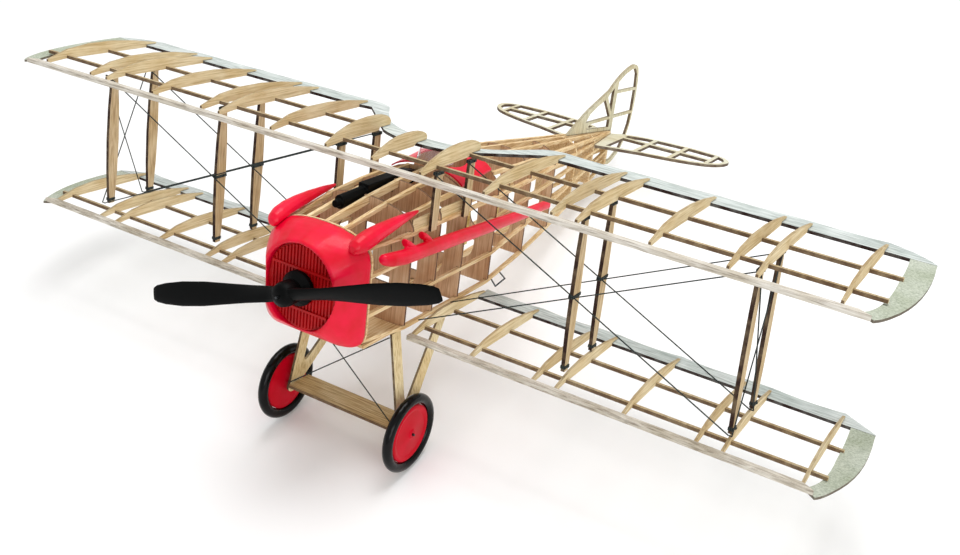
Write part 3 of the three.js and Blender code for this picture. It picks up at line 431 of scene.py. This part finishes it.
def sectionAt(node, share, look):
    # centre and half sizes of a strut's section, at a share of its height, in the level axes
    points = [levelPoint(v.co) for v in node.data.vertices]
    low = min(p.z for p in points)
    high = max(p.z for p in points)
    height = low + (high - low) * share
    count = max(look["fewest"], sum(abs(p.z - height) < look["reach"] * mm for p in points))
    near = sorted(points, key=lambda p: abs(p.z - height))[:count]
    lows = [min(p[i] for p in near) for i in (0, 1)]
    highs = [max(p[i] for p in near) for i in (0, 1)]
    centre = Vector(((lows[0] + highs[0]) / 2, (lows[1] + highs[1]) / 2, height))
    return centre, [(h - l) / 2 for l, h in zip(lows, highs)]


def fromLevel(point):
    return levelZero + leftAxis * point[0] + aftAxis * point[1] + upAxis * point[2]


def threadLashing(name, look, centre, half):
    # a band pulled square to the strut's section, cut into turns of thread, with a knot on its outer side
    bpy.ops.object.select_all(action="DESELECT")
    bpy.ops.mesh.primitive_cube_add(size=2)
    band = bpy.context.active_object
    band.name = name
    grow = look["thread"] * mm
    turn = look["pitch"] * mm
    tall = look["turns"] * turn / 2
    waist = [size + grow * look["waist"] for size in half]
    bpy.ops.object.mode_set(mode="EDIT")
    bpy.ops.mesh.select_all(action="SELECT")
    bpy.ops.transform.resize(value=(waist[0], waist[1], tall))
    for cut in range(1, 2 * look["turns"]):
        bpy.ops.mesh.select_all(action="SELECT")
        bpy.ops.mesh.bisect(plane_co=(0, 0, cut * turn / 2 - tall), plane_no=(0, 0, 1))
    bpy.ops.object.mode_set(mode="OBJECT")
    for vertex in band.data.vertices:
        step = round((vertex.co.z + tall) / (turn / 2))
        vertex.select = step % 2 == 1
    bpy.context.tool_settings.mesh_select_mode = (True, False, False)
    bpy.ops.object.mode_set(mode="EDIT")
    swell = [(size + grow * look["swell"]) / narrow for size, narrow in zip(half, waist)]
    bpy.ops.transform.resize(value=(swell[0], swell[1], 1))
    bpy.ops.object.mode_set(mode="OBJECT")
    applyModifier(band, "BEVEL", dict(width=grow * 0.5, segments=2, angle_limit=math.radians(60)))
    bpy.ops.object.select_all(action="DESELECT")
    knotPlace = (half[0] + grow, half[1] * 0.3, 0)
    bpy.ops.mesh.primitive_ico_sphere_add(subdivisions=2, radius=grow * look["knot"], location=knotPlace)
    knot = bpy.context.active_object
    applyModifier(knot, "CAST", dict(cast_type="CUBOID", factor=0.3))
    selectOnly(band, knot)
    bpy.ops.object.join()
    band.data.transform(Matrix.Translation(fromLevel(centre)) @ levelTurn)
    selectOnly(band)
    bpy.ops.object.shade_smooth_by_angle(angle=math.radians(50))
    give(band, thread)
    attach(band, "airframe")
    return band


lashing = dict(thread=0.42, turns=3, pitch=0.7, waist=0.6, swell=1.5, knot=2, reach=12, fewest=8)
lashingShares = {"inner_front": (0.985, 0.5, 0.03), "inner_rear": (0.985, 0.5, 0.03),
                 "outer_front": (0.985, 0.03), "outer_rear": (0.985, 0.03),
                 "cabane_front": (0.97,), "cabane_rear": (0.97,)}
for strutName, shares in lashingShares.items():
    for side in ("left", "right"):
        node = frame["nodes"][f"{strutName}_strut_{side}"]
        for number, share in enumerate(shares):
            centre, half = sectionAt(node, share, lashing)
            threadLashing(f"lashing_{strutName}_{side}_{number}", lashing, centre, half)
print("lashings ready")


def sparEnd(name, look, frameNode, tipNode, sign, isRear):
    # the last few millimetres of a spar, from the cut end of the stick to the tip sheet it is glued to
    points = [levelPoint(v.co) for v in frameNode.data.vertices if sign * v.co.x > 0]
    outer = max(sign * p.x for p in points)
    split = (min(p.y for p in points) + max(p.y for p in points)) / 2 - look["split"] * mm
    stick = [p for p in points if sign * p.x > outer - look["search"] * mm and (p.y > split) == isRear]
    inner = max(sign * p.x for p in stick)
    stick = [p for p in stick if sign * p.x > inner - look["flush"] * mm]
    lows = [min(p[i] for p in stick) for i in (1, 2)]
    highs = [max(p[i] for p in stick) for i in (1, 2)]
    reach = max(sign * v.co.x for v in tipNode.data.vertices) - look["tipRim"] * mm
    length = reach - inner + look["lap"] * mm
    bpy.ops.object.select_all(action="DESELECT")
    bpy.ops.mesh.primitive_cube_add(size=1)
    bar = bpy.context.active_object
    bar.name = name
    bpy.ops.object.mode_set(mode="EDIT")
    bpy.ops.mesh.select_all(action="SELECT")
    bpy.ops.transform.resize(value=(length, highs[0] - lows[0], highs[1] - lows[1]))
    bpy.ops.object.mode_set(mode="OBJECT")
    applyModifier(bar, "BEVEL", dict(width=look["ease"] * mm, segments=1))
    middle = (sign * (reach - length / 2), (lows[0] + highs[0]) / 2, (lows[1] + highs[1]) / 2)
    bar.data.transform(Matrix.Translation(fromLevel(middle)) @ levelTurn)
    give(bar, ribBalsa)
    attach(bar, "airframe")
    return bar


sparEnds = dict(search=6, split=12, flush=0.1, tipRim=12.4, lap=0.4, ease=0.12)
for side, sign in (("left", 1), ("right", -1)):
    ribNodes = {"upper": "upper_wing_ribs_and_spars", "lower": f"lower_wing_ribs_and_spars_{side}"}
    for wing, ribNode in ribNodes.items():
        for row, isRear in (("front", False), ("rear", True)):
            sparEnd(f"sparEnd_{wing}_{side}_{row}", sparEnds, frame["nodes"][ribNode],
                    frame["nodes"][f"{wing}_wingtip_{side}"], sign, isRear)
print("spar ends ready")


def sheetPanel(name, look, x, ySpan, zSpan, material):
    # a thin sheet let in between two stringers, its edges eased
    bpy.ops.object.select_all(action="DESELECT")
    bpy.ops.mesh.primitive_plane_add(size=1, location=(0, 0, 0))
    panel = bpy.context.active_object
    panel.name = name
    bpy.ops.object.mode_set(mode="EDIT")
    bpy.ops.mesh.select_all(action="SELECT")
    bpy.ops.transform.resize(value=((ySpan[1] - ySpan[0]) * mm, (zSpan[1] - zSpan[0]) * mm, 1))
    bpy.ops.mesh.subdivide(number_cuts=3)
    bpy.ops.object.mode_set(mode="OBJECT")
    applyModifier(panel, "SOLIDIFY", dict(thickness=look["thick"] * mm, offset=0))
    applyModifier(panel, "BEVEL", dict(width=look["ease"] * mm, segments=1, angle_limit=math.radians(40)))
    upright = Matrix(((0, 0, 1, 0), (1, 0, 0, 0), (0, 1, 0, 0), (0, 0, 0, 1)))
    middle = inLevel(x, sum(ySpan) / 2, sum(zSpan) / 2)
    panel.data.transform(Matrix.Translation(middle) @ levelTurn @ upright)
    give(panel, material)
    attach(panel, "airframe")
    return panel


panelLook = dict(thick=1.0, ease=0.15)
cockpitSides = dict(inset=31.6, zSpan=(-39.5, -29.5), stations={"front": (-15.8, 11.8), "rear": (14.2, 42.8)})
bearers = {"seatBearer": dict(inset=27, ySpan=(46, 60), zSpan=(-66, -44)),
           "rearBearer": dict(inset=25, ySpan=(88, 102), zSpan=(-62, -42))}
for side, sign in (("left", 1), ("right", -1)):
    for place, ySpan in cockpitSides["stations"].items():
        sheetPanel(f"cockpitSide_{side}_{place}", panelLook, sign * cockpitSides["inset"], ySpan,
                   cockpitSides["zSpan"], ribBalsa)
    for bearerName, look in bearers.items():
        sheetPanel(f"{bearerName}_{side}", panelLook, sign * look["inset"], look["ySpan"],
                   look["zSpan"], plyWood)
print("side sheets ready")

# studio
floorLook = dict(size=12, drop=0.0002)
worldStrength = 0.72
bpy.ops.object.select_all(action="DESELECT")
bpy.ops.mesh.primitive_plane_add(size=floorLook["size"], location=(0, 0, -floorLook["drop"]))
floor = bpy.context.active_object
floor.name = "studioFloor"
# smooth white backdrop paper: flat and matt, so only the model's own shadow shows
floorMaterial = newMaterial("paleStudioPaper", {"Base Color": linear("#fbfbfb"), "Roughness": 0.9})[0]
give(floor, floorMaterial)

world = bpy.data.worlds.new("studioWorld")
scene.world = world
world.use_nodes = True
world.node_tree.nodes["Background"].inputs["Color"].default_value = (1, 1, 1, 1)
world.node_tree.nodes["Background"].inputs["Strength"].default_value = worldStrength

studioLights = {
    "topSoftbox": dict(place=(0.1, 0.3, 1.5), size=0.9, power=14),
    "frontFill": dict(place=(1.3, -1.3, 0.8), size=1.0, power=9),
}
lightTarget = Vector((0, 0, 0.1))
for lightName, look in studioLights.items():
    lightData = bpy.data.lights.new(lightName, "AREA")
    lightData.size = look["size"]
    lightData.energy = look["power"]
    light = bpy.data.objects.new(lightName, lightData)
    light.location = look["place"]
    light.rotation_euler = (lightTarget - Vector(look["place"])).to_track_quat("-Z", "Y").to_euler()
    scene.collection.objects.link(light)

scene.view_settings.view_transform = "Standard"
print("studio ready")
